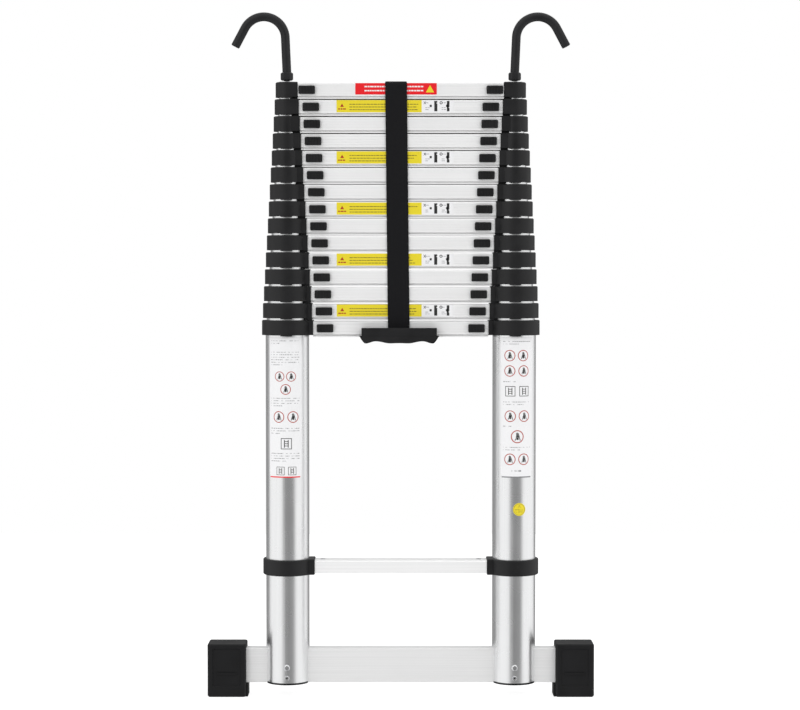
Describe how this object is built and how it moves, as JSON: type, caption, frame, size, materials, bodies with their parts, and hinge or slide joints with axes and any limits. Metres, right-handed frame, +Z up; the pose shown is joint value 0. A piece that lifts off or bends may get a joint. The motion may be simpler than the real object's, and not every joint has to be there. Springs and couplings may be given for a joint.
{
  "type": "telescoping extension ladder",
  "caption": "Telescoping extension ladder, closed: nested aluminium stiles, stacked rungs with release buttons, outward top hooks, carry strap and a stabiliser bar with rubber feet.",
  "frame": {"origin": "on the floor, at the middle of the footprint, midway between the two feet", "axes": "+Z up along the stiles, +X to the right across the rungs as seen from the front, -Y towards the climber at the front"},
  "size_m": [0.634, 0.0832, 1.1198],
  "materials": {
    "tube_aluminium": "satin anodised, drawn along its length",
    "rung_aluminium": "satin extruded, finely grooved",
    "bar_aluminium": "matt",
    "black_nylon": "lightly textured moulding",
    "foot_rubber": "matt",
    "coated_steel": "black plastic-dipped coating",
    "zinc_steel": "zinc plated",
    "webbing": "woven polyester webbing"
  },
  "bodies": {
    "base": {"base_tubes": "tube_aluminium", "base_collars": "black_nylon", "base_rung": "rung_aluminium", "fixed_rung": "rung_aluminium", "fixed_rung_clamps": "black_nylon", "stabiliser_bar": "bar_aluminium", "feet": "foot_rubber", "tube_end_plugs": "black_nylon", "base_fasteners": "zinc_steel"},
    "section_01": {"section_01_tubes": "tube_aluminium", "section_01_rung": "rung_aluminium", "section_01_collar_set": "black_nylon"},
    "section_02": {"section_02_tubes": "tube_aluminium", "section_02_rung": "rung_aluminium", "section_02_collar_set": "black_nylon"},
    "section_03": {"section_03_tubes": "tube_aluminium", "section_03_rung": "rung_aluminium", "section_03_collar_set": "black_nylon"},
    "section_04": {"section_04_tubes": "tube_aluminium", "section_04_rung": "rung_aluminium", "section_04_collar_set": "black_nylon"},
    "section_05": {"section_05_tubes": "tube_aluminium", "section_05_rung": "rung_aluminium", "section_05_collar_set": "black_nylon"},
    "section_06": {"section_06_tubes": "tube_aluminium", "section_06_rung": "rung_aluminium", "section_06_collar_set": "black_nylon"},
    "section_07": {"section_07_tubes": "tube_aluminium", "section_07_rung": "rung_aluminium", "section_07_collar_set": "black_nylon"},
    "section_08": {"section_08_tubes": "tube_aluminium", "section_08_rung": "rung_aluminium", "section_08_collar_set": "black_nylon"},
    "section_09": {"section_09_tubes": "tube_aluminium", "section_09_rung": "rung_aluminium", "section_09_collar_set": "black_nylon"},
    "section_10": {"section_10_tubes": "tube_aluminium", "section_10_rung": "rung_aluminium", "section_10_collar_set": "black_nylon"},
    "section_11": {"section_11_tubes": "tube_aluminium", "section_11_rung": "rung_aluminium", "section_11_collar_set": "black_nylon"},
    "section_12": {"section_12_tubes": "tube_aluminium", "section_12_rung": "rung_aluminium", "section_12_collar_set": "black_nylon"},
    "section_13": {"section_13_tubes": "tube_aluminium", "section_13_rung": "rung_aluminium", "section_13_collar_set": "black_nylon"},
    "section_14": {"section_14_tubes": "tube_aluminium", "section_14_rung": "rung_aluminium", "section_14_collar_set": "black_nylon", "top_plugs": "zinc_steel", "carry_strap": "webbing", "carry_handle": "black_nylon"},
    "release_left": {"release_left": "black_nylon"},
    "release_right": {"release_right": "black_nylon"},
    "hook_left": {"hook_left": "coated_steel", "hook_nut_left": "coated_steel"},
    "hook_right": {"hook_right": "coated_steel", "hook_nut_right": "coated_steel"}
  },
  "joints": [
    {"name": "section_01_slide", "type": "slide", "parent": "base", "child": "section_01", "axis": [0, 0, 1], "range_m": [0, 0.362]},
    {"name": "section_02_slide", "type": "slide", "parent": "section_01", "child": "section_02", "axis": [0, 0, 1], "range_m": [0, 0.362]},
    {"name": "section_03_slide", "type": "slide", "parent": "section_02", "child": "section_03", "axis": [0, 0, 1], "range_m": [0, 0.362]},
    {"name": "section_04_slide", "type": "slide", "parent": "section_03", "child": "section_04", "axis": [0, 0, 1], "range_m": [0, 0.362]},
    {"name": "section_05_slide", "type": "slide", "parent": "section_04", "child": "section_05", "axis": [0, 0, 1], "range_m": [0, 0.362]},
    {"name": "section_06_slide", "type": "slide", "parent": "section_05", "child": "section_06", "axis": [0, 0, 1], "range_m": [0, 0.362]},
    {"name": "section_07_slide", "type": "slide", "parent": "section_06", "child": "section_07", "axis": [0, 0, 1], "range_m": [0, 0.362]},
    {"name": "section_08_slide", "type": "slide", "parent": "section_07", "child": "section_08", "axis": [0, 0, 1], "range_m": [0, 0.362]},
    {"name": "section_09_slide", "type": "slide", "parent": "section_08", "child": "section_09", "axis": [0, 0, 1], "range_m": [0, 0.362]},
    {"name": "section_10_slide", "type": "slide", "parent": "section_09", "child": "section_10", "axis": [0, 0, 1], "range_m": [0, 0.362]},
    {"name": "section_11_slide", "type": "slide", "parent": "section_10", "child": "section_11", "axis": [0, 0, 1], "range_m": [0, 0.362]},
    {"name": "section_12_slide", "type": "slide", "parent": "section_11", "child": "section_12", "axis": [0, 0, 1], "range_m": [0, 0.362]},
    {"name": "section_13_slide", "type": "slide", "parent": "section_12", "child": "section_13", "axis": [0, 0, 1], "range_m": [0, 0.362]},
    {"name": "section_14_slide", "type": "slide", "parent": "section_13", "child": "section_14", "axis": [0, 0, 1], "range_m": [0, 0.362]},
    {"name": "release_left_slide", "type": "slide", "parent": "base", "child": "release_left", "axis": [1, 0, 0], "range_m": [0, 0.008], "stiffness_N_per_m": 600, "springref_m": -0.004},
    {"name": "release_right_slide", "type": "slide", "parent": "base", "child": "release_right", "axis": [-1, 0, 0], "range_m": [0, 0.008], "stiffness_N_per_m": 600, "springref_m": -0.004},
    {"name": "hook_left_swivel", "type": "hinge", "parent": "section_14", "child": "hook_left", "pos_m": [-0.186, 0, 1.018], "axis": [0, 0, 1], "range_deg": [-180, 180]},
    {"name": "hook_right_swivel", "type": "hinge", "parent": "section_14", "child": "hook_right", "pos_m": [0.186, 0, 1.018], "axis": [0, 0, 1], "range_deg": [-180, 180]}
  ]
}
